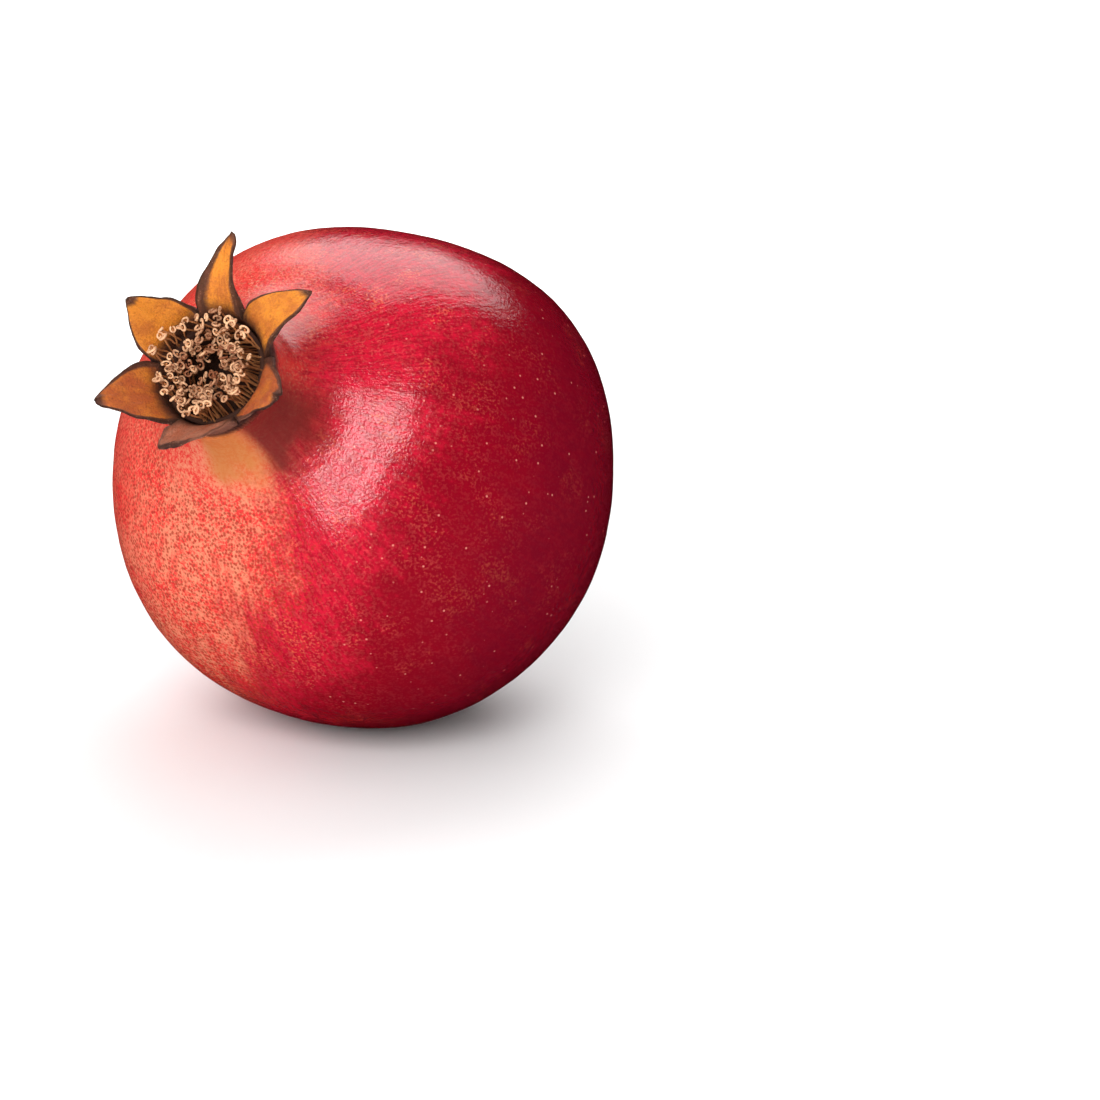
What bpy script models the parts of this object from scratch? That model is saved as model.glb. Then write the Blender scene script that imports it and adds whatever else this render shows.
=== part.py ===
"""A whole ripe pomegranate lying on its side, with its crown raised, at its real size.

The fruit grew as one piece: the round body, the neck and the six calyx lobes of the crown are one solid.
The dried stamens stand in the crown on the tube's dry lining. A short stub of stalk is left at the other end.

The shape is worked out in the fruit's own frame, with +Z from the stalk to the crown and its origin at the
middle of the body. It is then tipped over on to its flat spot, which is the origin of the finished part.
Lengths are in metres and angles in degrees, unless a name says otherwise.
"""

import math
import random

import bmesh
import bpy
from mathutils import Matrix, Vector

# The body: a spheroid, fuller towards the crown, with soft ridges, four broad sides and a low bulge.
BODY_RADIUS = 0.0489
CROWN_HALF_LENGTH = 0.0472
STALK_HALF_LENGTH = 0.0447
SHOULDER_LATITUDE = 57.0
RIDGES = 6
RIDGE_HEIGHT = 0.00025
RIDGE_AZIMUTH = 53.0
SIDES = 4
SIDE_HEIGHT = 0.0006
SIDE_AZIMUTH = -42.0
SIDE_TWIST = -258.0
BULGE_HEIGHT = 0.0007
BULGE_AZIMUTH = 65.0
BULGE_TURN = 2290.0
BULGE_START = 106.0
SWELL_STARTS = (-0.0447, -0.0200)
SWELL_ENDS = (0.0330, 0.0500)
STALK_DIMPLE_DEPTH = 0.0022
STALK_DIMPLE_FLOOR = 0.0050
STALK_DIMPLE_RADIUS = 0.0110

# How the fruit lies: the axis rises towards the crown, which points to -Y.
AXIS_RISE = 32.0
BODY_CENTRE = Vector((0.00145, 0.00246, 0.04683))
REST_HEIGHT = 0.0

# The neck and the crown's tube. The crown leans a little to one side of the body's axis.
RIM_RADIUS = 0.0120
RIM_HEIGHT = 0.0615
RIM_FLARE = 18.0
SHOULDER_HANDLE = 0.0130
RIM_HANDLE = 0.0095
LEAN = 5.0
LEAN_AZIMUTH = -23.0
LEAN_FOOT = 0.0440
LEAN_STARTS = 0.0400
LEAN_ENDS = 0.0560

# The wall of the crown, and the cup that its tube makes.
TUBE_WALL = 0.0019
TIP_WALL = 0.0009
CUP_DEPTH = 0.0130
CUP_FLOOR_RADIUS = 0.0070

# The six lobes, clockwise round the crown: the notch where each starts and the next one's notch, its length,
# how far it leans out at its root and at its tip, the sideways sweep of its tip, how far its two edges roll
# in, how far it twists about its own length, and its tip's width as a share of its root's.
LOBES = (
    {"notches": (118.8, 70.9), "length": 0.0131, "flare": (25, 82), "sweep": -0.0020, "roll": (6.0, 7.0),
     "twist": 4, "tip": 0.05},
    {"notches": (70.9, 18.5), "length": 0.0129, "flare": (25, 85), "sweep": -0.0019, "roll": (1.0, 4.0),
     "twist": 4, "tip": 0.05},
    {"notches": (18.5, -47.6), "length": 0.0117, "flare": (25, 50), "sweep": 0.0, "roll": (1.5, 1.0),
     "twist": -4, "tip": 0.07},
    {"notches": (-47.6, -109.1), "length": 0.0120, "flare": (18, 32), "sweep": -0.0009, "roll": (1.0, 1.0),
     "twist": 6, "tip": 0.38},
    {"notches": (-109.1, -178.5), "length": 0.0131, "flare": (14, 34), "sweep": 0.0011, "roll": (1.5, 3.0),
     "twist": 6, "tip": 0.05},
    {"notches": (-178.5, -241.2), "length": 0.0123, "flare": (10, 17), "sweep": 0.0001, "roll": (0.3, 1.5),
     "twist": 0, "tip": 0.05},
)
LOBE_BEND = 2.2
SWEEP_GROWTH = 1.3
LOBE_TAPER = 0.78
LOBE_BELLY = 0.20

# The mesh: columns across each lobe, and rows along each stretch of the profile.
LOBE_COLUMNS = 8
BODY_ROWS = 20
NECK_ROWS = 9
LOBE_ROWS = 7
CUP_ROWS = 4

# The dried stamens, on the thin lining of the cup.
LINING_GAP = 0.0004
LINING_WALL = 0.0009
STAMEN_COUNT = 80
STAMEN_RINGS = 4
ROOT_DEPTHS = (0.22, 0.72)
HEAD_RADII = (0.0092, 0.0032)
HEAD_RISES = (0.0042, 0.0006)
HEAD_SCATTER = 0.0007
FILAMENT_RADIUS = 0.00034
ANTHER_RADIUS = 0.00070
ANTHER_TUBE = 0.00034
STYLE_RADIUS = 0.0009
STYLE_LENGTH = 0.0062
RANDOM_SEED = 11

# The stub of stalk.
STALK_RADIUS = 0.0034
STALK_LENGTH = 0.0050
STALK_GAP = 0.0004
STALK_SIDES = 12

TURN = 2 * math.pi


def clear_scene():
    for old in list(bpy.data.objects):
        bpy.data.objects.remove(old)


def material(name, colour, roughness):
    """A plain finish with one colour."""
    made = bpy.data.materials.new(name)
    made.use_nodes = True
    shader = made.node_tree.nodes["Principled BSDF"]
    shader.inputs["Base Color"].default_value = (*colour, 1.0)
    shader.inputs["Roughness"].default_value = roughness
    shader.inputs["Metallic"].default_value = 0.0
    return made


def smoothstep(low, high, value):
    share = min(1.0, max(0.0, (value - low) / (high - low)))
    return share * share * (3 - 2 * share)


def mix(a, b, share):
    return a + (b - a) * share


def fruit_to_world():
    """The matrix that tips the upright fruit over, so that its crown points to -Y and up."""
    return Matrix.Translation(BODY_CENTRE) @ Matrix.Rotation(math.radians(90 - AXIS_RISE), 4, "X")


def lean_over(point):
    """The point after the neck's gentle bend, which turns all that lies above it by LEAN."""
    share = smoothstep(LEAN_STARTS, LEAN_ENDS, point.z)
    way = math.radians(LEAN_AZIMUTH)
    axis = Vector((-math.sin(way), math.cos(way), 0.0))
    foot = Vector((0.0, 0.0, LEAN_FOOT))
    return foot + Matrix.Rotation(math.radians(LEAN) * share, 3, axis) @ (point - foot)


def bezier(ends, share):
    """The point at share, from 0 to 1, along a cubic curve with these four control points."""
    a, b, c, d = ends
    rest = 1 - share
    return a * rest**3 + b * 3 * rest**2 * share + c * 3 * rest * share**2 + d * share**3


def neck_curve():
    """The control points, as (radius, height), of the sweep from the body's shoulder to the crown's rim."""
    latitude = math.radians(SHOULDER_LATITUDE)
    shoulder = Vector((BODY_RADIUS * math.cos(latitude), CROWN_HALF_LENGTH * math.sin(latitude)))
    along = Vector((-BODY_RADIUS * math.sin(latitude), CROWN_HALF_LENGTH * math.cos(latitude))).normalized()
    rim = Vector((RIM_RADIUS, RIM_HEIGHT))
    flare = math.radians(RIM_FLARE)
    up = Vector((math.sin(flare), math.cos(flare)))
    return shoulder, shoulder + along * SHOULDER_HANDLE, rim - up * RIM_HANDLE, rim


def outer_profile():
    """The outline from beside the stalk up to the crown's rim, as (radius, height) points."""
    outline = []
    for row in range(1, BODY_ROWS + 1):
        latitude = math.radians(mix(-90.0, SHOULDER_LATITUDE, row / BODY_ROWS))
        radius = BODY_RADIUS * math.cos(latitude)
        height = (CROWN_HALF_LENGTH if latitude > 0 else STALK_HALF_LENGTH) * math.sin(latitude)
        if height < 0:
            height += STALK_DIMPLE_DEPTH * (1 - smoothstep(STALK_DIMPLE_FLOOR, STALK_DIMPLE_RADIUS, radius))
        outline.append(Vector((radius, height)))
    ends = neck_curve()
    outline += [bezier(ends, row / NECK_ROWS) for row in range(1, NECK_ROWS + 1)]
    return outline


def swell(azimuth, height):
    """How far the skin stands out from the turned shape. The swellings fade out at the neck and the stalk."""
    fade = smoothstep(*SWELL_STARTS, height) * (1 - smoothstep(*SWELL_ENDS, height))
    turned = azimuth - math.radians(SIDE_AZIMUTH + SIDE_TWIST * height)
    ridge = RIDGE_HEIGHT * math.cos(RIDGES * (azimuth - math.radians(RIDGE_AZIMUTH)))
    side = SIDE_HEIGHT * math.cos(SIDES * turned)
    across = math.cos(2 * (azimuth - math.radians(BULGE_AZIMUTH)))
    bulge = BULGE_HEIGHT * across * math.cos(math.radians(BULGE_TURN * height + BULGE_START))
    return fade * (ridge + side + bulge)


def column_azimuths():
    """The azimuth of each column of faces, in radians, evenly spaced within each lobe."""
    found = []
    for lobe in LOBES:
        start, end = lobe["notches"]
        found += [math.radians(mix(start, end, step / LOBE_COLUMNS)) for step in range(LOBE_COLUMNS)]
    return found


def skin_point(radius, height, azimuth):
    """A point of the outer skin, with its ridges and the neck's lean."""
    out = radius + swell(azimuth, height)
    return lean_over(Vector((out * math.cos(azimuth), out * math.sin(azimuth), height)))


def lobe_width(lobe, share):
    """The lobe's width at this share of its length, as a share of its width at the root."""
    taper = (1 - share) ** LOBE_TAPER * (1 + LOBE_BELLY * math.sin(math.pi * share))
    return mix(lobe["tip"], 1.0, taper)


def lobe_lean(lobe, share):
    """How far the lobe leans out at this share of its length, in radians. It bends most near its root."""
    root, tip = (math.radians(angle) for angle in lobe["flare"])
    return mix(root, tip, 1 - (1 - share) ** LOBE_BEND)


def lobe_spine(lobe, share, steps=24):
    """(outward, upward) from the rim to the lobe's middle line at this share of its length."""
    out, up = 0.0, 0.0
    for step in range(steps):
        lean = lobe_lean(lobe, share * (step + 0.5) / steps)
        out += math.sin(lean)
        up += math.cos(lean)
    length = lobe["length"] * share / steps
    return out * length, up * length


def lobe_outer_point(lobe, across, share):
    """A point on a lobe's outer face. across runs from -1 to 1, share from 0 at the rim to 1 at the tip."""
    start, end = (math.radians(angle) for angle in lobe["notches"])
    middle, half = (start + end) / 2, (end - start) / 2
    radial = Vector((math.cos(middle), math.sin(middle), 0.0))
    sideways = Vector((-math.sin(middle), math.cos(middle), 0.0))
    up = Vector((0.0, 0.0, 1.0))
    out, rise = lobe_spine(lobe, share)
    lean = lobe_lean(lobe, share) * smoothstep(0.0, 0.2, share)
    inward = -radial * math.cos(lean) + up * math.sin(lean)
    width = lobe_width(lobe, share)
    roll = lobe["roll"][0] if across < 0 else lobe["roll"][1]
    arc = half * width * mix(1.0, roll, share)
    bend_radius = RIM_RADIUS * half * width / arc
    side = bend_radius * math.sin(arc * across)
    sag = bend_radius * (1 - math.cos(arc * across))
    twist = math.radians(lobe["twist"]) * share**1.5
    turned_side = side * math.cos(twist) - sag * math.sin(twist)
    turned_sag = side * math.sin(twist) + sag * math.cos(twist)
    sweep = lobe["sweep"] * share**SWEEP_GROWTH
    spine = radial * (RIM_RADIUS + out) + up * (RIM_HEIGHT + rise)
    return spine + sideways * (sweep + turned_side) + inward * turned_sag


def lobe_inner_point(lobe, across, share):
    """The point of the lobe's inner face opposite the outer one, a wall's thickness away."""
    outer = lobe_outer_point(lobe, across, share)
    radial = Vector((outer.x, outer.y, 0.0)).normalized()
    if share == 0:
        return outer - radial * TUBE_WALL
    step = 0.01
    ahead = min(1.0, share + step)
    along = lobe_outer_point(lobe, across, ahead) - lobe_outer_point(lobe, across, share - step)
    over = lobe_outer_point(lobe, across + step, share) - lobe_outer_point(lobe, across - step, share)
    normal = along.cross(over).normalized()
    if normal.dot(radial) < 0:
        normal = -normal
    wall = mix(TUBE_WALL, TIP_WALL, smoothstep(0.0, 0.6, share)) * mix(1.0, 0.75, abs(across) ** 3)
    return outer - normal * wall


def cup_profile():
    """The inside of the crown's tube, from just under its rim down to the edge of the cup's floor."""
    rim = RIM_RADIUS - TUBE_WALL
    outline = []
    for row in range(1, CUP_ROWS + 1):
        share = row / CUP_ROWS
        outline.append(Vector((mix(rim, CUP_FLOOR_RADIUS, share**1.6), RIM_HEIGHT - CUP_DEPTH * share)))
    return outline


def ring_faces(mesh, low, high):
    """Faces between two closed rings of points with as many points in each."""
    count = len(low)
    for i in range(count):
        j = (i + 1) % count
        mesh.faces.new((low[i], low[j], high[j], high[i]))


def fan_faces(mesh, ring, centre):
    """Faces that close a ring to one point."""
    for i, point in enumerate(ring):
        mesh.faces.new((point, ring[(i + 1) % len(ring)], centre))


def strip_faces(mesh, rows):
    """Faces of an open sheet, whose rows have as many points each."""
    for below, above in zip(rows, rows[1:]):
        for i in range(len(below) - 1):
            mesh.faces.new((below[i], below[i + 1], above[i + 1], above[i]))


def grow_lobe(mesh, lobe, outer_root, inner_root):
    """One calyx lobe, grown from its stretch of the tube's outer and inner rim."""
    outer, inner = [outer_root], [inner_root]
    for row in range(1, LOBE_ROWS + 1):
        share = row / LOBE_ROWS
        spread = [mix(-1.0, 1.0, step / LOBE_COLUMNS) for step in range(LOBE_COLUMNS + 1)]
        outer.append([mesh.verts.new(lean_over(lobe_outer_point(lobe, t, share))) for t in spread])
        inner.append([mesh.verts.new(lean_over(lobe_inner_point(lobe, t, share))) for t in spread])
    strip_faces(mesh, outer)
    strip_faces(mesh, inner)
    strip_faces(mesh, [outer[-1], inner[-1]])
    for side in (0, -1):
        strip_faces(mesh, [[row[side] for row in outer], [row[side] for row in inner]])


def cut_rest_spot(mesh):
    """Cuts the mesh off level where the fruit rests, and closes the cut with one flat face."""
    everything = mesh.verts[:] + mesh.edges[:] + mesh.faces[:]
    cut = bmesh.ops.bisect_plane(
        mesh, geom=everything, plane_co=(0, 0, REST_HEIGHT), plane_no=(0, 0, -1), clear_outer=True
    )
    edges = [item for item in cut["geom_cut"] if isinstance(item, bmesh.types.BMEdge)]
    bmesh.ops.contextual_create(mesh, geom=edges)


def finished_object(name, mesh, finish):
    """An object with this mesh, its faces pointing outwards and shaded smooth."""
    bmesh.ops.recalc_face_normals(mesh, faces=mesh.faces)
    if mesh.calc_volume(signed=True) < 0:
        bmesh.ops.reverse_faces(mesh, faces=mesh.faces)
    data = bpy.data.meshes.new(name)
    mesh.to_mesh(data)
    mesh.free()
    data.shade_smooth()
    data.set_sharp_from_angle(angle=math.radians(50))
    data.materials.append(finish)
    made = bpy.data.objects.new(name, data)
    bpy.context.scene.collection.objects.link(made)
    return made


def build_fruit():
    """The body, the neck and the crown of six lobes, as one closed skin."""
    mesh = bmesh.new()
    azimuths = column_azimuths()
    rings = []
    for radius, height in outer_profile():
        rings.append([mesh.verts.new(skin_point(radius, height, a)) for a in azimuths])
    for low, high in zip(rings, rings[1:]):
        ring_faces(mesh, low, high)
    stalk_end = mesh.verts.new((0.0, 0.0, STALK_DIMPLE_DEPTH - STALK_HALF_LENGTH))
    fan_faces(mesh, rings[0], stalk_end)

    outer_rim = rings[-1]
    inner_rim = [mesh.verts.new(lean_over(inner_rim_point(a))) for a in azimuths]
    count = len(azimuths)
    for index, lobe in enumerate(LOBES):
        first = index * LOBE_COLUMNS
        stretch = [(first + step) % count for step in range(LOBE_COLUMNS + 1)]
        grow_lobe(mesh, lobe, [outer_rim[i] for i in stretch], [inner_rim[i] for i in stretch])

    below = inner_rim
    for radius, height in cup_profile():
        ring = [mesh.verts.new(lean_over(on_circle(radius, height, a))) for a in azimuths]
        ring_faces(mesh, below, ring)
        below = ring
    floor = mesh.verts.new(lean_over(Vector((0.0, 0.0, RIM_HEIGHT - CUP_DEPTH))))
    fan_faces(mesh, below, floor)

    mesh.transform(fruit_to_world())
    cut_rest_spot(mesh)
    return finished_object("fruit", mesh, material("rind", (0.56, 0.028, 0.045), 0.38))


def on_circle(radius, height, azimuth):
    return Vector((radius * math.cos(azimuth), radius * math.sin(azimuth), height))


def inner_rim_point(azimuth):
    return on_circle(RIM_RADIUS - TUBE_WALL, RIM_HEIGHT, azimuth)


def lining_mesh():
    """The dry lining of the cup: a thin cup that stands just clear of the tube's wall and floor."""
    mesh = bmesh.new()
    azimuths = [TURN * step / 20 for step in range(20)]
    rings = []
    shares = (0.10, 0.55, 1.0)
    for share in shares:
        rings.append((lining_radius(share), RIM_HEIGHT - CUP_DEPTH * share + LINING_GAP * share))
    outside = [[mesh.verts.new(on_circle(r, z, a)) for a in azimuths] for r, z in rings]
    inside = [[mesh.verts.new(on_circle(r - LINING_WALL, z + LINING_WALL * share, a)) for a in azimuths]
              for (r, z), share in zip(rings, shares)]
    for low, high in zip(outside, outside[1:]):
        ring_faces(mesh, low, high)
    for low, high in zip(inside, inside[1:]):
        ring_faces(mesh, low, high)
    ring_faces(mesh, outside[0], inside[0])
    fan_faces(mesh, outside[-1], mesh.verts.new((0.0, 0.0, rings[-1][1])))
    fan_faces(mesh, inside[-1], mesh.verts.new((0.0, 0.0, rings[-1][1] + LINING_WALL)))
    return mesh


def lining_radius(share):
    """The lining's outer radius at this share of the cup's depth."""
    rim = RIM_RADIUS - TUBE_WALL
    return mix(rim, CUP_FLOOR_RADIUS, share**1.6) - LINING_GAP


def tube_along(mesh, path, radii, sides, twist=0.0):
    """A closed tube with flat ends, along a path of points, with one radius for each point."""
    rings = []
    for i, point in enumerate(path):
        ahead = (path[min(i + 1, len(path) - 1)] - path[max(i - 1, 0)]).normalized()
        if i == 0:
            across = ahead.orthogonal()
        across = (across - ahead * across.dot(ahead)).normalized()
        other = ahead.cross(across)
        rings.append([
            mesh.verts.new(point + (across * math.cos(turn) + other * math.sin(turn)) * radii[i])
            for turn in (twist + TURN * side / sides for side in range(sides))
        ])
    for low, high in zip(rings, rings[1:]):
        ring_faces(mesh, low, high)
    mesh.faces.new(rings[0])
    mesh.faces.new(rings[-1])


def anther_ring(mesh, centre, normal, sides=5, tube_sides=3):
    """The curled anther on a stamen's tip: a small closed ring."""
    across = normal.orthogonal().normalized()
    other = normal.cross(across)
    rings = []
    for side in range(sides):
        turn = TURN * side / sides
        out = across * math.cos(turn) + other * math.sin(turn)
        rings.append([
            mesh.verts.new(centre + out * (ANTHER_RADIUS + ANTHER_TUBE * math.cos(roll))
                           + normal * (ANTHER_TUBE * math.sin(roll)))
            for roll in (TURN * k / tube_sides for k in range(tube_sides))
        ])
    for i, ring in enumerate(rings):
        ring_faces(mesh, ring, rings[(i + 1) % sides])


def stamen_path(index, draw):
    """The middle line of one stamen: out of the tube's wall, then up and bent in over the cup."""
    ring = index % STAMEN_RINGS
    share = (ring + 0.5) / STAMEN_RINGS
    azimuth = TURN * (index / STAMEN_COUNT + 0.31 * ring) + draw.uniform(-0.06, 0.06)
    depth = mix(*ROOT_DEPTHS, share) + draw.uniform(-0.04, 0.04)
    root_radius = lining_radius(depth) - LINING_WALL * 0.5
    root = on_circle(root_radius, RIM_HEIGHT - CUP_DEPTH * depth, azimuth)
    head_radius = mix(*HEAD_RADII, share) + draw.uniform(-HEAD_SCATTER, HEAD_SCATTER)
    head_height = RIM_HEIGHT + mix(*HEAD_RISES, share) + draw.uniform(-HEAD_SCATTER, HEAD_SCATTER)
    head = on_circle(head_radius, head_height, azimuth + draw.uniform(-0.16, 0.16))
    knee = on_circle(mix(root_radius, head_radius, 0.55), mix(root.z, head.z, 0.35), azimuth)
    return [root, root.lerp(knee, 0.9), knee.lerp(head, 0.45), head]


def build_stamens():
    """All the dried stamens and the style, joined to the lining that they grow from."""
    draw = random.Random(RANDOM_SEED)
    repeats = bpy.data.collections.new("stamens before they are joined")
    bpy.context.scene.collection.children.link(repeats)
    for index in range(STAMEN_COUNT):
        path = stamen_path(index, draw)
        heading = (path[-1] - path[-2]).normalized()
        tilt = Vector((draw.uniform(-1, 1), draw.uniform(-1, 1), draw.uniform(-1, 1)))
        normal = (tilt - heading * tilt.dot(heading)).normalized()
        filament = bmesh.new()
        tube_along(filament, path, [FILAMENT_RADIUS * 1.15] + [FILAMENT_RADIUS] * 3, 3)
        repeats.objects.link(loose_piece("filament", filament))
        anther = bmesh.new()
        anther_ring(anther, path[-1] + heading * ANTHER_RADIUS, normal)
        repeats.objects.link(loose_piece("anther", anther))

    style = bmesh.new()
    foot = Vector((0.0, 0.0, RIM_HEIGHT - CUP_DEPTH + LINING_GAP + LINING_WALL * 0.5))
    bend = Vector((0.0006, -0.0004, 0.0))
    rise = Vector((0.0, 0.0, STYLE_LENGTH * 0.5))
    path = [foot, foot + rise + bend, foot + rise * 2 - bend]
    tube_along(style, path, [STYLE_RADIUS, STYLE_RADIUS * 0.8, STYLE_RADIUS * 1.2], 6)
    repeats.objects.link(loose_piece("style", style))

    tuft = finished_object("stamens", lining_mesh(), material("stamen", (0.42, 0.24, 0.11), 0.7))
    join = tuft.modifiers.new("join the stamens", "BOOLEAN")
    join.operation = "UNION"
    join.operand_type = "COLLECTION"
    join.collection = repeats
    join.solver = "EXACT"
    join.use_self = True
    apply_modifiers(tuft)
    for piece in list(repeats.objects):
        bpy.data.objects.remove(piece)
    bpy.data.collections.remove(repeats)

    turned = bmesh.new()
    turned.from_mesh(tuft.data)
    for vertex in turned.verts:
        vertex.co = lean_over(vertex.co)
    turned.transform(fruit_to_world())
    turned.to_mesh(tuft.data)
    turned.free()
    return tuft


def loose_piece(name, mesh):
    """An object outside the scene's own collection, for a Boolean to read."""
    bmesh.ops.recalc_face_normals(mesh, faces=mesh.faces)
    data = bpy.data.meshes.new(name)
    mesh.to_mesh(data)
    mesh.free()
    return bpy.data.objects.new(name, data)


def apply_modifiers(target):
    """Replaces the object's mesh with the one that its modifiers make."""
    bpy.context.view_layer.update()
    graph = bpy.context.evaluated_depsgraph_get()
    made = bpy.data.meshes.new_from_object(target.evaluated_get(graph))
    target.modifiers.clear()
    target.data = made


def build_stalk():
    """The short stub of woody stalk, broken off a little unevenly, in the dimple at the body's lower end."""
    mesh = bmesh.new()
    top = STALK_DIMPLE_DEPTH - STALK_HALF_LENGTH - STALK_GAP
    rings = []
    for share, swelling in ((0.0, 1.25), (0.3, 1.0), (0.75, 0.92), (1.0, 1.08)):
        ring = []
        for side in range(STALK_SIDES):
            azimuth = TURN * side / STALK_SIDES
            uneven = 1 + 0.06 * math.cos(3 * azimuth) + 0.04 * math.cos(5 * azimuth + 1)
            drop = STALK_LENGTH * share * (1 + 0.09 * math.cos(azimuth + 0.5) * share)
            ring.append(mesh.verts.new(on_circle(STALK_RADIUS * swelling * uneven, top - drop, azimuth)))
        rings.append(ring)
    for low, high in zip(rings, rings[1:]):
        ring_faces(mesh, low, high)
    fan_faces(mesh, rings[0], mesh.verts.new((0.0, 0.0, top)))
    fan_faces(mesh, rings[-1], mesh.verts.new((0.0, 0.0, top - STALK_LENGTH)))
    mesh.transform(fruit_to_world())
    return finished_object("stalk_stub", mesh, material("stalk", (0.20, 0.11, 0.055), 0.85))


def main():
    clear_scene()
    build_fruit()
    build_stamens()
    build_stalk()


main()
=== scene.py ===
# %% [markdown]
# # A ripe pomegranate, lying on its side
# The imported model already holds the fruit's size and place. This lesson builds the fine surfaces round it:
# the rind with its colours and speckles, the leathery crown, the dried stamens and the stub of stalk. Lengths
# are in metres. Each cell prints what it made.

# %% Load the frame
import math

import bmesh
import bpy
import numpy as np
from mathutils import Matrix, Vector


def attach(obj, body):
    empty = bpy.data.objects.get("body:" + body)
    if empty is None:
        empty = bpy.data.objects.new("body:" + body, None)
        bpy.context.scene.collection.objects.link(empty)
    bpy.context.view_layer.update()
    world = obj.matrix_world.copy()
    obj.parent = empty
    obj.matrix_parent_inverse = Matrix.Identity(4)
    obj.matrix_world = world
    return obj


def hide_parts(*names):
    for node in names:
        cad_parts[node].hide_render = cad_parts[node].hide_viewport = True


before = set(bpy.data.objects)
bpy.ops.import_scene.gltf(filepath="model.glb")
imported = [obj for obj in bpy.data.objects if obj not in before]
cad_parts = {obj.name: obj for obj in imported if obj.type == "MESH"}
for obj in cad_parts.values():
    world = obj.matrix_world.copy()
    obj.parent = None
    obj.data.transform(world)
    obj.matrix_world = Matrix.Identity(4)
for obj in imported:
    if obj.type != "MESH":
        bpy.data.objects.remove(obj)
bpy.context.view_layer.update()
print("solids in the frame:", sorted(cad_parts))

# %% [markdown]
# ## One way to write nodes
# A node tree is easier to read as arithmetic. `Wire` wraps one output, and Python's operators add a Math node
# each. `Recipe.add` makes any other node: first its settings, then its sockets. The same two classes serve
# materials and Geometry Nodes.

# %% A wire that does arithmetic
class Wire:
    """One output of a node. Arithmetic on it adds Math nodes."""

    def __init__(self, recipe, socket):
        self.recipe = recipe
        self.socket = socket

    def __add__(self, other):
        return self.recipe.math("ADD", self, other)

    def __sub__(self, other):
        return self.recipe.math("SUBTRACT", self, other)

    def __rsub__(self, other):
        return self.recipe.math("SUBTRACT", other, self)

    def __mul__(self, other):
        return self.recipe.math("MULTIPLY", self, other)

    def __rtruediv__(self, other):
        return self.recipe.math("DIVIDE", other, self)

    def __pow__(self, other):
        return self.recipe.math("POWER", self, other)

    __radd__ = __add__
    __rmul__ = __mul__


print("wires add, subtract, multiply, divide and raise")

# %% A recipe that writes a node tree
class Recipe:
    """A node tree that is being written."""

    def __init__(self, tree):
        self.tree = tree

    def add(self, kind, settings=None, sockets=None, output=0):
        """Adds a node, and gives the wire of one of its outputs."""
        node = self.tree.nodes.new(kind)
        for name, value in (settings or {}).items():
            setattr(node, name, value)
        self.fill(node, sockets or {})
        return Wire(self, node.outputs[output])

    def fill(self, node, sockets):
        """Links or sets a node's inputs, by name or number."""
        for key, value in sockets.items():
            if isinstance(value, Wire):
                self.tree.links.new(value.socket, node.inputs[key])
            else:
                node.inputs[key].default_value = value

    def math(self, operation, *values):
        return self.add("ShaderNodeMath", {"operation": operation}, dict(enumerate(values)))

    def step(self, value, low, high):
        """0 below low, 1 above high, and smooth between them. low may be the greater one."""
        sockets = {"Value": value, "From Min": low, "From Max": high}
        return self.add("ShaderNodeMapRange", {"interpolation_type": "SMOOTHSTEP"}, sockets)

    def mix(self, share, first, second):
        """A blend of two colours."""
        return self.add("ShaderNodeMix", {"data_type": "RGBA"}, {0: share, 6: first, 7: second}, 2)

    def vector(self, operation, *operands, output=0):
        sockets = dict(enumerate(operands))
        return self.add("ShaderNodeVectorMath", {"operation": operation}, sockets, output)

    def scaled(self, vector, amount):
        """A vector times a number."""
        return self.add("ShaderNodeVectorMath", {"operation": "SCALE"}, {0: vector, "Scale": amount})

    def noise(self, place, size, detail=2.0, roughness=0.5):
        """Soft noise from 0 to 1, whose lumps are about this size."""
        sockets = {"Vector": place, "Scale": 1.0 / size, "Detail": detail, "Roughness": roughness}
        return self.add("ShaderNodeTexNoise", None, sockets)

    def attribute(self, name, output="Fac"):
        return self.add("ShaderNodeAttribute", {"attribute_name": name}, None, output)


print("a recipe adds any node by its type")

# %% New materials and colours
def new_material(name):
    """A material, its recipe and its Principled shader, whose sockets later cells fill in."""
    made = bpy.data.materials.new(name)
    made.use_nodes = True
    return made, Recipe(made.node_tree), made.node_tree.nodes["Principled BSDF"]


def colour(red, green, blue):
    """A linear colour for a socket."""
    return (red, green, blue, 1.0)


print("white, as a socket takes it:", colour(1.0, 1.0, 1.0))

# %% [markdown]
# ## The fruit's own frame
# A pomegranate is easiest to describe upright, from the stalk below to the crown above. Here is the turned
# outline of the body and the neck, as the solid has it, with the gentle swellings that make it less than
# round. At the end everything is tipped over into the place where it lies.

# %% Sizes of the upright fruit
BODY_RADIUS = 0.0489
CROWN_HALF_LENGTH = 0.0472
STALK_HALF_LENGTH = 0.0447
SHOULDER_LATITUDE = 57.0
SHOULDER_HANDLE = 0.0130
RIM_HANDLE = 0.0095
RIM_RADIUS = 0.0120
RIM_HEIGHT = 0.0615
RIM_FLARE = 18.0
DIMPLE_DEPTH = 0.0022
DIMPLE_RADII = (0.0050, 0.0110)
SWELL_STARTS = (-0.0447, -0.0200)
SWELL_ENDS = (0.0330, 0.0500)
RIDGE_HEIGHT = 0.00025
SIDE_HEIGHT = 0.0006
BULGE_HEIGHT = 0.0007
AXIS_RISE = 32.0
BODY_CENTRE = np.array((0.00145, 0.00246, 0.04683))
LEAN = 5.0
LEAN_AZIMUTH = -23.0
LEAN_FOOT = 0.0440
LEAN_HEIGHTS = (0.0400, 0.0560)
print("body", BODY_RADIUS * 2, "m across, and the crown's rim", RIM_RADIUS * 2, "m")

# %% Rows of points
def mix(first, second, share):
    return first + (second - first) * share


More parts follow.
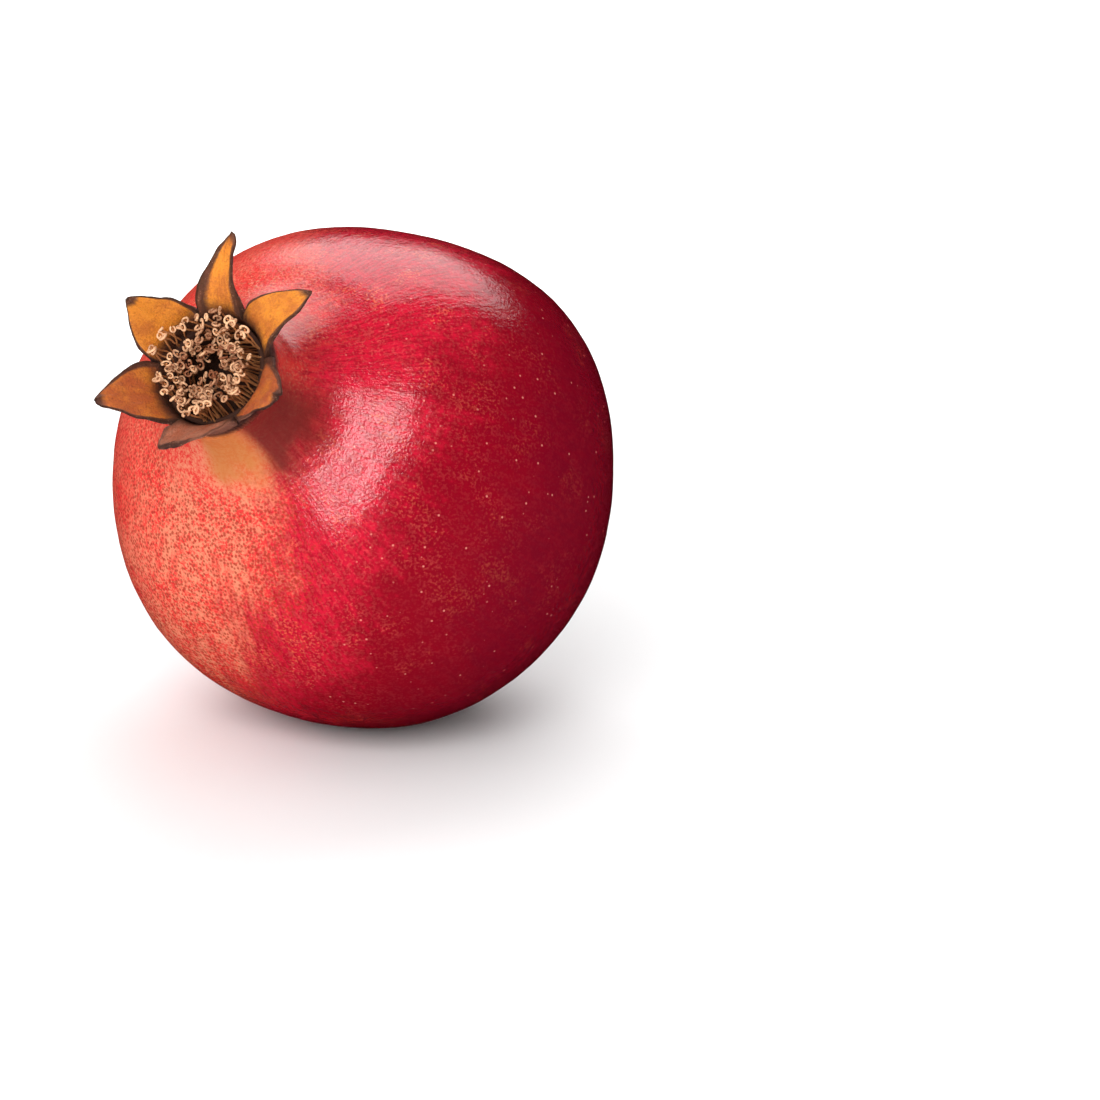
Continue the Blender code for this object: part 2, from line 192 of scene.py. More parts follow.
def smoothstep(low, high, value):
    share = np.clip((value - low) / (high - low), 0, 1)
    return share * share * (3 - 2 * share)


def points(x, y, z):
    """Points from three arrays of any one shape, as rows."""
    x, y, z = np.broadcast_arrays(x, y, z)
    return np.stack((x, y, z), axis=-1).astype(float)


def polar_points(radius, azimuth, height):
    return points(radius * np.cos(azimuth), radius * np.sin(azimuth), height)


def unit(rows):
    """Rows of length one."""
    return rows / np.linalg.norm(rows, axis=-1, keepdims=True)


print("a quarter of the way, smoothstep gives", smoothstep(0.0, 1.0, 0.25))

# %% Swell, lean and lie down
def swell(azimuth, height):
    """How far the skin stands out: six faint ridges, four broad sides and a low bulge."""
    fade = smoothstep(*SWELL_STARTS, height) * (1 - smoothstep(*SWELL_ENDS, height))
    ridges = RIDGE_HEIGHT * np.cos(6 * (azimuth - math.radians(53)))
    sides = SIDE_HEIGHT * np.cos(4 * (azimuth + np.radians(42 + 258 * height)))
    bulge = BULGE_HEIGHT * np.cos(2 * (azimuth - math.radians(65)))
    return fade * (ridges + sides + bulge * np.cos(np.radians(2290 * height + 106)))


def lean_over(place):
    """Bends the neck, so that the crown leans a little to one side."""
    turn = math.radians(LEAN) * smoothstep(*LEAN_HEIGHTS, place[..., 2:3])
    way = math.radians(LEAN_AZIMUTH)
    axis = np.array((-math.sin(way), math.cos(way), 0.0))
    arm = place - (0, 0, LEAN_FOOT)
    along = axis * (arm @ axis)[..., None]
    across = np.cross(axis, arm)
    return (0, 0, LEAN_FOOT) + along + (arm - along) * np.cos(turn) + across * np.sin(turn)


def lay_down(place):
    """Tips the upright fruit over, with its crown towards -Y, and stands it on its flat spot."""
    turn = math.radians(90 - AXIS_RISE)
    tip = np.array(((1, 0, 0), (0, math.cos(turn), -math.sin(turn)), (0, math.sin(turn), math.cos(turn))))
    return place @ tip.T + BODY_CENTRE


print("middle of the crown's rim:", lay_down(lean_over(points(0.0, 0.0, RIM_HEIGHT))).round(4))

# %% The turned outline
def outline(body_rows, neck_rows):
    """The radius and height of each ring, from beside the stalk up to the crown's rim."""
    latitude = np.radians(np.linspace(-90, SHOULDER_LATITUDE, body_rows + 1)[1:])
    radius = BODY_RADIUS * np.cos(latitude)
    height = np.where(latitude > 0, CROWN_HALF_LENGTH, STALK_HALF_LENGTH) * np.sin(latitude)
    height += np.where(height < 0, DIMPLE_DEPTH * (1 - smoothstep(*DIMPLE_RADII, radius)), 0)
    shoulder = np.array((radius[-1], height[-1]))
    along = (-BODY_RADIUS * math.sin(latitude[-1]), CROWN_HALF_LENGTH * math.cos(latitude[-1]))
    along = unit(np.array(along))
    flare = math.radians(RIM_FLARE)
    rim = np.array((RIM_RADIUS, RIM_HEIGHT))
    foot = rim - RIM_HANDLE * np.array((math.sin(flare), math.cos(flare)))
    t = (np.arange(1, neck_rows + 1) / neck_rows)[:, None]
    knee = shoulder + along * SHOULDER_HANDLE
    neck = shoulder * (1 - t) ** 3 + 3 * knee * t * (1 - t) ** 2 + 3 * foot * (1 - t) * t**2 + rim * t**3
    return np.vstack((np.column_stack((radius, height)), neck))


print("outline of", len(outline(20, 9)), "rings in the solid, and many more below")

# %% [markdown]
# ## The six lobes of the crown
# Each lobe is a leathery tongue that grows from a stretch of the rim. It bends outwards, tapers to its tip,
# and dries with its edges rolled in. A formula gives its outer face, and the inner face lies a wall's
# thickness behind it. The fine mesh adds what the solid lacks: a wavy edge, a crease along the middle and a
# swollen rim.

# %% Measures of the lobes
TUBE_WALL = 0.0019
TIP_WALL = 0.0009
LOBE_BEND = 2.2
LOBE_TAPER = 0.78
LOBE_BELLY = 0.20
SWEEP_GROWTH = 1.3
EDGE_WAVE = 0.00028
CREASE_DEPTH = 0.00022
CREASE_WIDTH = 0.16
EDGE_WALL_SHARE = 0.42
# tint runs from amber, 0, to the pinkish brown of a lobe that dried longer, 1. borders are the shares of the
# lobe's half-width that dried dark along its two edges.
LOBE_FIELDS = ("notches", "length", "flare", "sweep", "roll", "twist", "tip", "tint", "borders")
LOBE_TABLE = (
    ((118.8, 70.9), 0.0131, (25, 82), -0.0020, (6.0, 7.0), 4, 0.05, 0.15, (0.42, 0.20)),
    ((70.9, 18.5), 0.0129, (25, 85), -0.0019, (1.0, 4.0), 4, 0.05, 0.0, (0.04, 0.13)),
    ((18.5, -47.6), 0.0117, (25, 50), 0.0, (1.5, 1.0), -4, 0.07, 0.66, (0.20, 0.06)),
    ((-47.6, -109.1), 0.0120, (18, 32), -0.0009, (1.0, 1.0), 6, 0.38, 1.0, (0.10, 0.14)),
    ((-109.1, -178.5), 0.0131, (14, 34), 0.0011, (1.5, 3.0), 6, 0.05, 0.58, (0.07, 0.12)),
    ((-178.5, -241.2), 0.0123, (10, 17), 0.0001, (0.3, 1.5), 0, 0.05, 0.0, (0.03, 0.05)),
)
LOBES = [dict(zip(LOBE_FIELDS, row)) for row in LOBE_TABLE]
print("lobes:", len(LOBES))

# %% The outer face of a lobe
def lobe_lean(lobe, share):
    root, tip = np.radians(lobe["flare"])
    return mix(root, tip, 1 - (1 - share) ** LOBE_BEND)


def lobe_width(lobe, share):
    taper = (1 - share) ** LOBE_TAPER * (1 + LOBE_BELLY * np.sin(math.pi * share))
    return mix(lobe["tip"], 1.0, taper)


def lobe_face(lobe, across, share, steps=24):
    """Points of a lobe's outer face. across runs from -1 to 1, share from 0 at its root to 1 at its tip."""
    start, end = np.radians(lobe["notches"])
    middle, half = (start + end) / 2, (end - start) / 2
    radial = np.array((math.cos(middle), math.sin(middle), 0.0))
    sideways = np.array((-math.sin(middle), math.cos(middle), 0.0))
    up = np.array((0.0, 0.0, 1.0))
    leans = lobe_lean(lobe, share[..., None] * (np.arange(steps) + 0.5) / steps)
    out = np.sin(leans).mean(axis=-1) * lobe["length"] * share
    rise = np.cos(leans).mean(axis=-1) * lobe["length"] * share
    lean = lobe_lean(lobe, share) * smoothstep(0.0, 0.2, share)
    inward = -radial * np.cos(lean)[..., None] + up * np.sin(lean)[..., None]
    width = lobe_width(lobe, share)
    roll = np.where(across < 0, lobe["roll"][0], lobe["roll"][1])
    arc = half * width * mix(1.0, roll, share)
    bend_radius = RIM_RADIUS * half * width / arc
    side = bend_radius * np.sin(arc * across)
    sag = bend_radius * (1 - np.cos(arc * across))
    twist = math.radians(lobe["twist"]) * share**1.5
    turned_side = side * np.cos(twist) - sag * np.sin(twist)
    turned_sag = side * np.sin(twist) + sag * np.cos(twist)
    sweep = lobe["sweep"] * share**SWEEP_GROWTH
    spine = radial * (RIM_RADIUS + out)[..., None] + up * (RIM_HEIGHT + rise)[..., None]
    return spine + sideways * (sweep + turned_side)[..., None] + inward * turned_sag[..., None]


print("tip of the first lobe, upright:", lobe_face(LOBES[0], np.zeros(1), np.ones(1)).round(4))

# %% Both faces with their relief
def lobe_faces(lobe, across, share):
    """The outer and inner faces with their fine relief."""
    face = lobe_face(lobe, across, share)
    step = 0.01
    low, high = np.maximum(share - step, 0), np.minimum(share + step, 1)
    along = lobe_face(lobe, across, high) - lobe_face(lobe, across, low)
    over = lobe_face(lobe, across + step, share) - lobe_face(lobe, across - step, share)
    normal = unit(np.cross(along, over))
    outward = unit(points(face[..., 0], face[..., 1], 0 * face[..., 2]))
    normal *= np.where((normal * outward).sum(axis=-1, keepdims=True) < 0, -1, 1)
    off_rim = smoothstep(0.0, 0.12, share)[..., None]
    normal = unit(mix(outward, normal, off_rim))
    seed = lobe["notches"][0]
    rim = np.abs(across) ** 4
    wave = np.sin(9 * share + seed) * 0.6 + np.sin(17 * share + 2.3 * seed + 2 * across) * 0.4
    crease = np.exp(-((across - 0.12 * np.sin(4 * share + seed)) / CREASE_WIDTH) ** 2)
    relief = EDGE_WAVE * rim * wave - CREASE_DEPTH * crease * smoothstep(0.05, 0.5, share)
    relief = off_rim[..., 0] * relief
    thinning = mix(1.0, EDGE_WALL_SHARE, np.abs(across) ** 3 * smoothstep(0.0, 0.15, share))
    wall = mix(TUBE_WALL, TIP_WALL, smoothstep(0.0, 0.6, share)) * thinning
    outer = face + normal * relief[..., None]
    inner = outer - normal * wall[..., None]
    return outer, inner


tip_outer, tip_inner = lobe_faces(LOBES[0], np.zeros(1), np.ones(1))
print("wall at that tip:", np.linalg.norm(tip_outer - tip_inner).round(5))

# %% [markdown]
# ## One closed skin
# The body, the neck, the lobes and the cup inside the crown grew as one piece, so they are one mesh. It is
# laid out as grids of points that share their borders, and each point also keeps notes for the material: how
# far it is up a lobe, how near an edge, and whether it is inside the crown.

# %% How fine the grids are
COLUMNS = 40
BODY_ROWS = 150
NECK_ROWS = 56
LOBE_ROWS = 44
CUP_ROWS = 14
CUP_DEPTH = 0.0130
CUP_FLOOR_RADIUS = 0.0070
CUP_BEND = 1.6
MERIDIAN_STRETCH = 0.22
LOBE_STRETCH = 0.3
RIM_TURN = 0.0060
SWOLLEN_EDGE = 0.4
NOTES = ("crown", "inside", "along", "edge", "tint")
print("each ring has", COLUMNS * len(LOBES), "points, and each point", len(NOTES), "notes")

# %% A skin that is woven from grids
def new_object(name, data):
    """An object that is in the scene."""
    made = bpy.data.objects.new(name, data)
    bpy.context.scene.collection.objects.link(made)
    return made


class Skin:
    """The points, the faces and each point's notes."""

    def __init__(self):
        self.places = []
        self.faces = []
        self.notes = {name: [] for name in NOTES}
        self.grain = []
        self.count = 0

    def add(self, place, grain, **notes):
        """Adds points of any grid shape, and gives their numbers in that shape."""
        shape = place.shape[:-1]
        self.places.append(place.reshape(-1, 3))
        self.grain.append(np.broadcast_to(grain, place.shape).reshape(-1, 3))
        for name in NOTES:
            self.notes[name].append(np.broadcast_to(notes.get(name, 0.0), shape).ravel())
        numbers = np.arange(self.count, self.count + int(np.prod(shape))).reshape(shape)
        self.count += numbers.size
        return numbers

    def sheet(self, numbers, closed=False):
        """Faces over a grid of points, closed round if the rows are rings."""
        if closed:
            numbers = np.hstack((numbers, numbers[:, :1]))
        corners = (numbers[:-1, :-1], numbers[:-1, 1:], numbers[1:, 1:], numbers[1:, :-1])
        self.faces += np.stack(corners, axis=-1).reshape(-1, 4).tolist()

    def fan(self, ring, centre):
        self.faces += [[int(a), int(b), int(centre)] for a, b in zip(ring, np.roll(ring, -1))]

    def object(self, name):
        mesh = bpy.data.meshes.new(name)
        mesh.from_pydata(np.vstack(self.places).tolist(), [], self.faces)
        for note in NOTES:
            values = np.concatenate(self.notes[note]).astype(np.float32)
            mesh.attributes.new(note, "FLOAT", "POINT").data.foreach_set("value", values)
        grain = np.vstack(self.grain).astype(np.float32).ravel()
        mesh.attributes.new("grain", "FLOAT_VECTOR", "POINT").data.foreach_set("vector", grain)
        return new_object(name, mesh)


print("an empty skin has", Skin().count, "points")

# %% Helpers for meshes
def face_outwards(mesh):
    """Turns all faces of a closed mesh to point out."""
    work = bmesh.new()
    work.from_mesh(mesh)
    bmesh.ops.recalc_face_normals(work, faces=work.faces)
    if work.calc_volume(signed=True) < 0:
        bmesh.ops.reverse_faces(work, faces=work.faces)
    work.to_mesh(mesh)
    work.free()
    mesh.shade_smooth()


def open_edges(mesh):
    """How many edges lack a face on one side."""
    work = bmesh.new()
    work.from_mesh(mesh)
    count = sum(len(edge.link_faces) != 2 for edge in work.edges)
    work.free()
    return count


def triangles(mesh):
    return sum(len(face.vertices) - 2 for face in mesh.polygons)


def read_places(mesh):
    """The places of a mesh's points, as rows."""
    flat = np.empty(len(mesh.vertices) * 3, np.float32)
    mesh.vertices.foreach_get("co", flat)
    return flat.reshape(-1, 3).astype(float)


def write_places(mesh, place):
    mesh.vertices.foreach_set("co", place.astype(np.float32).ravel())
    mesh.update()


print("meshes can be turned outwards, measured and moved")

# %% The body, the neck and the inner rim
def around(azimuth, along):
    """The grain's coordinates on the body: round the fruit, and slowly along its meridians."""
    return polar_points(BODY_RADIUS, azimuth, along * MERIDIAN_STRETCH)


azimuths = np.concatenate([np.radians(np.linspace(*lobe["notches"], COLUMNS + 1)[:-1]) for lobe in LOBES])
skin = Skin()
rings = outline(BODY_ROWS, NECK_ROWS)
gone = np.concatenate(([0.0], np.cumsum(np.linalg.norm(np.diff(rings, axis=0), axis=1))))
radius, height = rings[:, :1], rings[:, 1:]
reach = radius + swell(azimuths, height)
body = lean_over(polar_points(reach, azimuths, height))
to_rim = gone[-1] - gone[:, None]
rim_turn = 1 - smoothstep(0.0, RIM_TURN, to_rim)
body_points = skin.add(body, around(azimuths, gone[:, None]), crown=rim_turn)
skin.sheet(body_points, closed=True)
pole = lean_over(points(0.0, 0.0, DIMPLE_DEPTH - STALK_HALF_LENGTH))
skin.fan(body_points[0], skin.add(pole[None], around(0.0, 0.0), crown=0.0)[0])

inner_radius = RIM_RADIUS - TUBE_WALL
inner_rim = lean_over(polar_points(inner_radius, azimuths, RIM_HEIGHT))
inner_points = skin.add(inner_rim, around(azimuths, gone[-1]), crown=1.0, inside=1.0)
print("rings:", len(rings), "of", len(azimuths), "points")

# %% Grow the lobes
for index, lobe in enumerate(LOBES):
    stretch = np.arange(index * COLUMNS, (index + 1) * COLUMNS + 1) % len(azimuths)
    rows = np.arange(1, LOBE_ROWS + 1) / LOBE_ROWS
    share, across = np.meshgrid(rows, np.linspace(-1, 1, COLUMNS + 1), indexing="ij")
    outer, inner = lobe_faces(lobe, across, share)
    half_width = RIM_RADIUS * math.radians(abs(lobe["notches"][1] - lobe["notches"][0])) / 2
    sideways = across * half_width * lobe_width(lobe, share)
    grain = points(sideways, share * lobe["length"] * LOBE_STRETCH, 0.2 + 0.05 * index)
    border = np.where(across < 0, *lobe["borders"]) * mix(1.25, 0.8, share)
    to_edge = np.clip((1 - np.abs(across)) / border, 0, 2) / 2
    shared = {"crown": 1.0, "along": share, "edge": 1 - to_edge, "tint": lobe["tint"]}
    outer_points = skin.add(lean_over(outer), grain, inside=0.0, **shared)
    inner_points_here = skin.add(lean_over(inner), grain + (0, 0, 0.02), inside=1.0, **shared)
    outer_grid = np.vstack((body_points[-1][stretch][None], outer_points))
    inner_grid = np.vstack((inner_points[stretch][None], inner_points_here))
    skin.sheet(outer_grid)
    skin.sheet(inner_grid)
    tip = np.linalg.norm(outer[-1] - inner[-1], axis=-1, keepdims=True) * SWOLLEN_EDGE
    cap = (outer[-1] + inner[-1]) / 2
    ahead = unit(outer[-1] - outer[-2])
    on_edge = {"crown": 1.0, "edge": 1.0, "inside": 0.5, "tint": lobe["tint"]}
    cap_points = skin.add(lean_over(cap + ahead * tip), grain[-1], along=1.0, **on_edge)
    skin.sheet(np.vstack((outer_points[-1][None], cap_points[None], inner_points_here[-1][None])))
    for side in (0, -1):
        beside = unit(outer[:, side] - outer[:, 1 if side == 0 else -2])
        thickness = np.linalg.norm(outer[:, side] - inner[:, side], axis=-1, keepdims=True)
        swelling = beside * thickness * SWOLLEN_EDGE * smoothstep(0.02, 0.2, share[:, :1])
        swollen = (outer[:, side] + inner[:, side]) / 2 + swelling
        swollen[-1] += (ahead * tip)[side] * 0.7
        middle = skin.add(lean_over(swollen), grain[:, side], along=share[:, side], **on_edge)
        root_pair = (body_points[-1][stretch[side]], inner_points[stretch[side]])
        skin.sheet(np.column_stack((outer_points[:, side], middle, inner_points_here[:, side])))
        skin.faces.append([int(root_pair[0]), int(outer_points[0, side]), int(middle[0]),
                           int(inner_points_here[0, side]), int(root_pair[1])])
        skin.faces.append([int(outer_points[-1, side]), int(middle[-1]), int(cap_points[side])])
        skin.faces.append([int(middle[-1]), int(inner_points_here[-1, side]), int(cap_points[side])])
print("with the lobes, the skin has", skin.count, "points")

# %% Line the cup
depth = (np.arange(1, CUP_ROWS + 1) / CUP_ROWS)[:, None]
cup_radius = mix(inner_radius, CUP_FLOOR_RADIUS, depth**CUP_BEND)
cup = polar_points(cup_radius, azimuths, RIM_HEIGHT - CUP_DEPTH * depth)
in_cup = {"crown": 1.0, "inside": 1.0, "tint": 1.0}
cup_points = skin.add(lean_over(cup), around(azimuths, gone[-1] + CUP_DEPTH * depth), **in_cup)
skin.sheet(np.vstack((inner_points[None], cup_points)), closed=True)
floor_point = lean_over(points(0.0, 0.0, RIM_HEIGHT - CUP_DEPTH))
skin.fan(cup_points[-1], skin.add(floor_point[None], around(0.0, 0.0), **in_cup)[0])

rind = skin.object("rind")
face_outwards(rind.data)
print("skin:", len(rind.data.vertices), "points,", open_edges(rind.data), "open edges")

# %% [markdown]
# ## Relief by Geometry Nodes
# Dried calyx leather wrinkles along its length, and a fresh rind has faint dimples. Both are noise along the
# surface's normal, so one Geometry Nodes tree does it, with the sizes as named inputs. The notes on the
# points say which noise applies where.

# %% Helpers for Geometry Nodes trees
def new_geometry_tree(name, sockets):
    """A Geometry Nodes tree with these named inputs: its recipe, its input wires and their identifiers."""
    tree = bpy.data.node_groups.new(name, "GeometryNodeTree")
    tree.interface.new_socket("Geometry", in_out="INPUT", socket_type="NodeSocketGeometry")
    tree.interface.new_socket("Geometry", in_out="OUTPUT", socket_type="NodeSocketGeometry")
    identifiers = {}
    for label, kind in sockets.items():
        made = tree.interface.new_socket(label, in_out="INPUT", socket_type=kind)
        identifiers[label] = made.identifier
    recipe = Recipe(tree)
    entry = tree.nodes.new("NodeGroupInput")
    wires = {socket.name: Wire(recipe, socket) for socket in entry.outputs if socket.name}
    return recipe, wires, identifiers


def finish_tree(recipe, geometry, **finish):
    """Ends a tree: its instances become real, get their material and go out."""
    real = recipe.add("GeometryNodeRealizeInstances", None, {"Geometry": geometry})
    finished = recipe.add("GeometryNodeSetMaterial", None, {"Geometry": real, **finish})
    recipe.fill(recipe.tree.nodes.new("NodeGroupOutput"), {0: finished})


def apply_tree(target, recipe, identifiers, values):
    """Runs the tree on the object and keeps the result as its plain mesh."""
    modifier = target.modifiers.new(recipe.tree.name, "NODES")
    modifier.node_group = recipe.tree
    for label, value in values.items():
        modifier[identifiers[label]] = value
    graph = bpy.context.evaluated_depsgraph_get()
    made = bpy.data.meshes.new_from_object(target.evaluated_get(graph))
    target.modifiers.clear()
    target.data = made
    return made


def named(recipe, name, kind="FLOAT"):
    """The values of an attribute, in a Geometry Nodes tree."""
    return recipe.add("GeometryNodeInputNamedAttribute", {"data_type": kind}, {"Name": name})


print("a tree can be begun, ended and applied")

# %% A tree that wrinkles the crown and dimples the rind
rind_material, rind_recipe, rind_shader = new_material("pomegranate rind")
relief_sizes = {"Wrinkle depth": 0.00042, "Wrinkle size": 0.0011, "Dimple depth": 0.00032,
                "Dimple size": 0.0085, "Streak depth": 0.00007, "Streak size": 0.0011}
relief, size_of, relief_keys = new_geometry_tree("relief", dict.fromkeys(relief_sizes, "NodeSocketFloat"))
crown_note = named(relief, "crown")
grain_note = named(relief, "grain", "FLOAT_VECTOR")
here = relief.add("GeometryNodeInputPosition")
wrinkles = (relief.noise(grain_note, size_of["Wrinkle size"]) - 0.5) * size_of["Wrinkle depth"]
dimples = (relief.noise(here, size_of["Dimple size"]) - 0.5) * size_of["Dimple depth"]
streaks = (relief.noise(grain_note, size_of["Streak size"]) - 0.5) * size_of["Streak depth"]
amount = crown_note * wrinkles + (1 - crown_note) * (dimples + streaks)
offset = relief.scaled(relief.add("GeometryNodeInputNormal"), amount)
moved = relief.add("GeometryNodeSetPosition", None, {"Geometry": size_of["Geometry"], "Offset": offset})
finish_tree(relief, moved, Material=rind_material)
rind.data.materials.append(rind_material)
apply_tree(rind, relief, relief_keys, relief_sizes)
print("relief tree:", len(relief.tree.nodes), "nodes")

# %% Lay the rind down
place = lay_down(read_places(rind.data))
place[:, 2] = np.maximum(place[:, 2], 0.0)
write_places(rind.data, place)
rind.data.shade_smooth()
print("rind lies from", place.min(axis=0).round(4), "to", place.max(axis=0).round(4))

# %% [markdown]
# ## The rind's finish
# The skin is coral and orange on one side, where it saw less sun, bright red in the middle and deep crimson
# on the other. The colour runs in fine meridian streaks and a mottled net, with small brown corky dots on the
# pale side and tiny pale ones on the dark side. The crown is dry: amber leather inside, dark brown outside
# and at its edges. One material holds it all, blended by the notes on the points, so no seam shows.

# %% Colours of the skin
RIPENING = (0.99, 0.14, -0.68)
RIPENING_START = 0.17
CORAL = colour(0.76, 0.084, 0.060)
CORAL_RED = colour(0.74, 0.034, 0.030)
PEACH = colour(0.78, 0.235, 0.130)
RED = colour(0.55, 0.009, 0.031)
SALMON = colour(0.80, 0.120, 0.105)
ORANGE = colour(0.82, 0.170, 0.055)
CRIMSON = colour(0.23, 0.0018, 0.0100)
DEEP_CRIMSON = colour(0.16, 0.0015, 0.0110)
# russet of the neck; where it deepens near azimuth -38 it is painted shade in the valley beside the crown
RUSSET_AND_VALLEY_SHADE = colour(0.150, 0.016, 0.013)
NECK_YELLOW = colour(0.52, 0.175, 0.040)
DOT_BROWN = colour(0.33, 0.030, 0.016)
FLECK_PALE = colour(0.80, 0.260, 0.200)
print("ripest towards", RIPENING)

# %% Places and notes that the material reads
r = rind_recipe
world_place = r.add("ShaderNodeTexCoord", None, None, "Object")
tipped = (math.radians(90 - AXIS_RISE), 0, 0)
mapping = {"Vector": world_place, "Location": tuple(BODY_CENTRE), "Rotation": tipped}
local = r.add("ShaderNodeMapping", {"vector_type": "TEXTURE"}, mapping)
grain = r.attribute("grain", "Vector")
crown, inside, along, edge, tint = (r.attribute(name) for name in NOTES)
axis_height = r.add("ShaderNodeSeparateXYZ", None, {0: local}, "Z")
flat_place = r.vector("NORMALIZE", r.vector("MULTIPLY", local, (1.0, 1.0, 0.0)))


def towards(azimuth, low, high):
    """1 on the meridian at this azimuth, fading to 0 away from it. low and high are cosines."""
    way = (math.cos(math.radians(azimuth)), math.sin(math.radians(azimuth)), 0.0)
    return r.step(r.vector("DOT_PRODUCT", flat_place, way, output="Value"), low, high)


print("notes read:", ", ".join(NOTES))

# %% From coral to crimson
ripening_way = tuple(part / BODY_RADIUS for part in RIPENING)
ripeness = r.vector("DOT_PRODUCT", local, ripening_way, output="Value") + RIPENING_START
broad = r.noise(local, 0.017, 3.0, 0.55)
patches = r.noise(r.vector("ADD", local, (0.3, 0.1, 0.2)), 0.0080, 3.0, 0.55)
streaky = r.noise(grain, 0.0030, 3.0, 0.6)
fine_streaks = r.noise(grain, 0.0007, 2.0, 0.55)
mottle = r.noise(local, 0.0015, 3.0, 0.65)
speckle = r.noise(local, 0.00050, 2.0, 0.6)
wandering = ripeness + (broad - 0.5) * 0.55 + (streaky - 0.5) * 0.50 + (mottle - 0.5) * 0.55
pale_side = r.step(wandering, -0.10, -0.50)
near_crown = r.step(axis_height + (patches - 0.5) * 0.012, 0.0310, 0.0410)
upper_side = r.vector("DOT_PRODUCT", local, (0.0, 1 / BODY_RADIUS, 0.0), output="Value")
dark_side = r.step(wandering - upper_side * 0.20, 0.06, 0.50)
darkest = r.step(wandering - upper_side * 0.12, 0.40, 1.00)
body_colour = r.mix(dark_side, RED, CRIMSON)
body_colour = r.mix(darkest, body_colour, DEEP_CRIMSON)
print("skin blended with", len(r.tree.nodes), "nodes so far")

# %% The net over the skin
fine_net = r.step(speckle * 0.60 + mottle * 0.40, 0.48, 0.60)
net_amount = r.step(patches * 0.7 + streaky * 0.3, 0.36, 0.66) * 0.24 + 0.16
red_net = r.step(mottle * 0.50 + fine_streaks * 0.50, 0.43, 0.57)
body_colour = r.mix(red_net * (1 - dark_side * 0.5) * 0.62, body_colour, CRIMSON)
body_colour = r.mix(fine_net * net_amount * (1 - dark_side * 0.65) * (1 - darkest * 0.7), body_colour, SALMON)
orange_specks = r.step(speckle * 0.60 + streaky * 0.40, 0.50, 0.64) * r.step(patches, 0.52, 0.62)
body_colour = r.mix(orange_specks * (1 - dark_side * 0.80) * 0.42, body_colour, ORANGE)
blush = towards(-88, 0.35, 0.98) * r.step(axis_height, -0.030, 0.012)
pale_colour = r.mix(r.step(broad * 0.5 + patches * 0.5, 0.44, 0.60), CORAL_RED, CORAL)
peach_share = r.step(speckle * 0.45 + mottle * 0.35 + patches * 0.25, 0.44, 0.60) * (0.26 + blush * 0.74)
pale_colour = r.mix(near_crown * 0.75, pale_colour, CORAL_RED)
pale_colour = r.mix(peach_share, pale_colour, PEACH)
crown_net = r.step(speckle * 0.5 + streaky * 0.3 + mottle * 0.2, 0.49, 0.61)
pale_colour = r.mix(crown_net * near_crown * 0.75, pale_colour, PEACH)
red_streaks = r.step(streaky * 0.65 + patches * 0.35, 0.54, 0.66)
pale_colour = r.mix(red_streaks * 0.65, pale_colour, CORAL_RED)
body_colour = r.mix(pale_side, body_colour, pale_colour)
print("net and streaks laid over it")

# %% [markdown]
# ## Dots on the skin
# The dots are lenticels, where the fruit breathes. A texture of cells gives each cell one centre. The
# distance to it makes the dot, and the cell's own random colour drops some of them and varies the rest.

# %% Dots, flecks and the neck
def dots(recipe, place, spacing, radius, keep):
    """Round dots of about this radius, one per cell of this spacing, of which a share is kept."""
    sockets = {"Vector": place, "Scale": 1.0 / spacing, "Randomness": 0.85}
    distance = recipe.add("ShaderNodeTexVoronoi", {"feature": "F1"}, sockets, "Distance")
    cell = distance.socket.node.outputs["Color"]
    lot = recipe.add("ShaderNodeSeparateColor", None, {0: Wire(recipe, cell)}, "Red")
    size = radius / spacing
    round_dot = recipe.step(distance, size * 1.30, size * 0.60)
    return round_dot * recipe.step(lot, 1.0 - keep, 1.1 - keep)


dotted = (0.5 + towards(-100, 0.0, 0.75) * 0.5) * r.step(axis_height, 0.0470, 0.0425)
brown_dots = dots(r, local, 0.00070, 0.00030, 0.97) * r.step(wandering, 0.06, -0.24) * dotted
pale_flecks = dots(r, local, 0.0019, 0.00021, 0.50) * r.step(wandering, -0.15, 0.10)
body_colour = r.mix(brown_dots * 0.80, body_colour, DOT_BROWN)
body_colour = r.mix(pale_flecks * 0.60, body_colour, FLECK_PALE)

on_neck = r.step(axis_height + (patches - 0.5) * 0.010, 0.0430, 0.0485)
ochre = towards(-76, 0.87, 0.985)
# The neck is russet all round. Near azimuth -38 it is darker still: that is painted shade in the valley where
# the neck meets the shoulder beside the crown.
russet_and_valley_shade_share = 0.32 + towards(-38, 0.55, 0.92) * 0.60 - towards(-118, 0.50, 0.95) * 0.28
body_colour = r.mix(on_neck * (1 - ochre) * russet_and_valley_shade_share, body_colour, RUSSET_AND_VALLEY_SHADE)
high_on_neck = r.step(axis_height + (patches - 0.5) * 0.010, 0.0450, 0.0500)
body_colour = r.mix(high_on_neck * ochre * 0.85, body_colour, NECK_YELLOW)
print("dots and neck painted")

# %% The crown's leather
AMBER = colour(0.75, 0.245, 0.015)
AMBER_DEEP = colour(0.48, 0.115, 0.012)
DRIED_RED = colour(0.42, 0.070, 0.014)
DRIED_PINK = colour(0.42, 0.150, 0.085)
BARK = colour(0.048, 0.013, 0.009)
BARK_WARM = colour(0.150, 0.046, 0.022)
BARK_PALE = colour(0.48, 0.24, 0.15)
CUP_DARK = colour(0.085, 0.028, 0.012)

